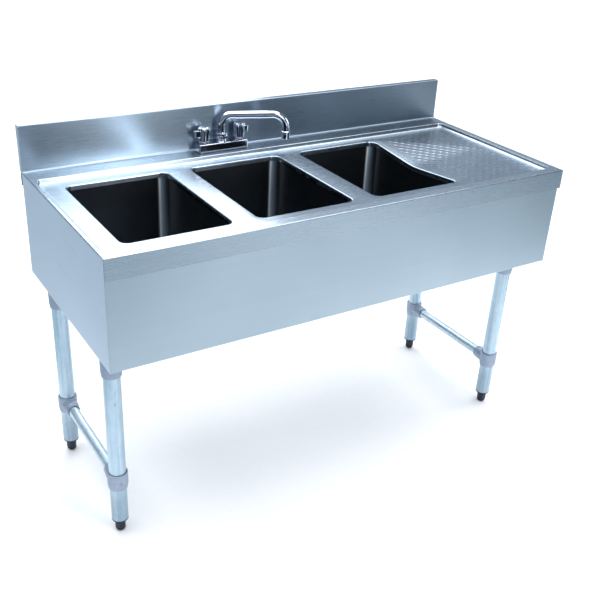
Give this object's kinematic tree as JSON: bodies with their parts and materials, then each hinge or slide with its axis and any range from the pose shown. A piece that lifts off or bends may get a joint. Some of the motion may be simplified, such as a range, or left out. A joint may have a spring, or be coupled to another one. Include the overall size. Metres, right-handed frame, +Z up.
{
  "type": "three compartment sink",
  "caption": "Stainless underbar sink with side-by-side drawn bowls, an embossed right drainboard, rear faucet ledge and splash, and tubular legs with stretchers.",
  "frame": {"origin": "middle of the footprint on the floor, at the bottom of the feet", "axes": "+X to the right along the length, +Y to the back (splash and wall), +Z up"},
  "size_m": [1.2192, 0.5334, 0.8382],
  "materials": {
    "top_steel": "brushed lengthwise, number 4 grain",
    "bowl_steel": "satin drawn",
    "splash_steel": "brushed lengthwise, number 4 grain",
    "panel_steel": "brushed lengthwise, number 4 grain",
    "galvanised_steel": "galvanised, dull sheen",
    "cast_alloy": "as cast, matt",
    "chrome_plate": "polished",
    "zinc_steel": "zinc plated",
    "black_plastic": "moulded, matt",
    "black_rubber": "matt"
  },
  "bodies": {
    "sink": {"sink_top": "top_steel", "bowl_left": "bowl_steel", "bowl_center": "bowl_steel", "bowl_right": "bowl_steel", "backsplash": "splash_steel", "front_panel": "panel_steel", "left_end_panel": "panel_steel", "right_end_panel": "panel_steel", "rear_brace": "panel_steel", "leg_channel_left": "galvanised_steel", "leg_channel_right": "galvanised_steel", "leg_socket_front_left": "cast_alloy", "leg_socket_rear_left": "cast_alloy", "leg_socket_front_right": "cast_alloy", "leg_socket_rear_right": "cast_alloy", "leg_front_left": "galvanised_steel", "leg_rear_left": "galvanised_steel", "leg_front_right": "galvanised_steel", "leg_rear_right": "galvanised_steel", "foot_inserts": "black_plastic", "stretcher_collar_front_left": "cast_alloy", "stretcher_collar_rear_left": "cast_alloy", "stretcher_collar_front_right": "cast_alloy", "stretcher_collar_rear_right": "cast_alloy", "stretcher_left": "galvanised_steel", "stretcher_right": "galvanised_steel", "collar_set_screws": "zinc_steel", "socket_set_screws": "zinc_steel", "drain_left": "chrome_plate", "drain_center": "chrome_plate", "drain_right": "chrome_plate", "drain_gaskets": "black_rubber", "drain_locknuts": "chrome_plate", "tailpiece_left": "chrome_plate", "tailpiece_center": "chrome_plate", "tailpiece_right": "chrome_plate", "faucet_body": "chrome_plate", "faucet_gasket": "black_rubber", "inlet_shanks": "chrome_plate", "shank_washers": "black_rubber", "shank_locknuts": "chrome_plate", "bonnet_hot": "chrome_plate", "bonnet_cold": "chrome_plate", "spout_nut": "chrome_plate"},
    "spout": {"spout_tube": "chrome_plate", "aerator": "chrome_plate"},
    "hot_valve": {"stem_hot": "chrome_plate", "handle_hot": "chrome_plate", "handle_cap_hot": "chrome_plate"},
    "cold_valve": {"stem_cold": "chrome_plate", "handle_cold": "chrome_plate", "handle_cap_cold": "chrome_plate"},
    "foot_front_left_body": {"foot_front_left": "black_plastic"},
    "foot_rear_left_body": {"foot_rear_left": "black_plastic"},
    "foot_front_right_body": {"foot_front_right": "black_plastic"},
    "foot_rear_right_body": {"foot_rear_right": "black_plastic"}
  },
  "joints": [
    {"name": "spout_swivel", "type": "hinge", "parent": "sink", "child": "spout", "pos_m": [-0.1101, 0.2263, 0.768], "axis": [0, 0, 1], "range_deg": [-163, 21]},
    {"name": "hot_handle_turn", "type": "hinge", "parent": "sink", "child": "hot_valve", "pos_m": [-0.1609, 0.2263, 0.768], "axis": [0, 0, 1], "range_deg": [0, 90]},
    {"name": "cold_handle_turn", "type": "hinge", "parent": "sink", "child": "cold_valve", "pos_m": [-0.0593, 0.2263, 0.768], "axis": [0, 0, -1], "range_deg": [0, 90]},
    {"name": "foot_front_left_level", "type": "slide", "parent": "sink", "child": "foot_front_left_body", "axis": [0, 0, -1], "range_m": [0, 0.025]},
    {"name": "foot_rear_left_level", "type": "slide", "parent": "sink", "child": "foot_rear_left_body", "axis": [0, 0, -1], "range_m": [0, 0.025]},
    {"name": "foot_front_right_level", "type": "slide", "parent": "sink", "child": "foot_front_right_body", "axis": [0, 0, -1], "range_m": [0, 0.025]},
    {"name": "foot_rear_right_level", "type": "slide", "parent": "sink", "child": "foot_rear_right_body", "axis": [0, 0, -1], "range_m": [0, 0.025]}
  ]
}
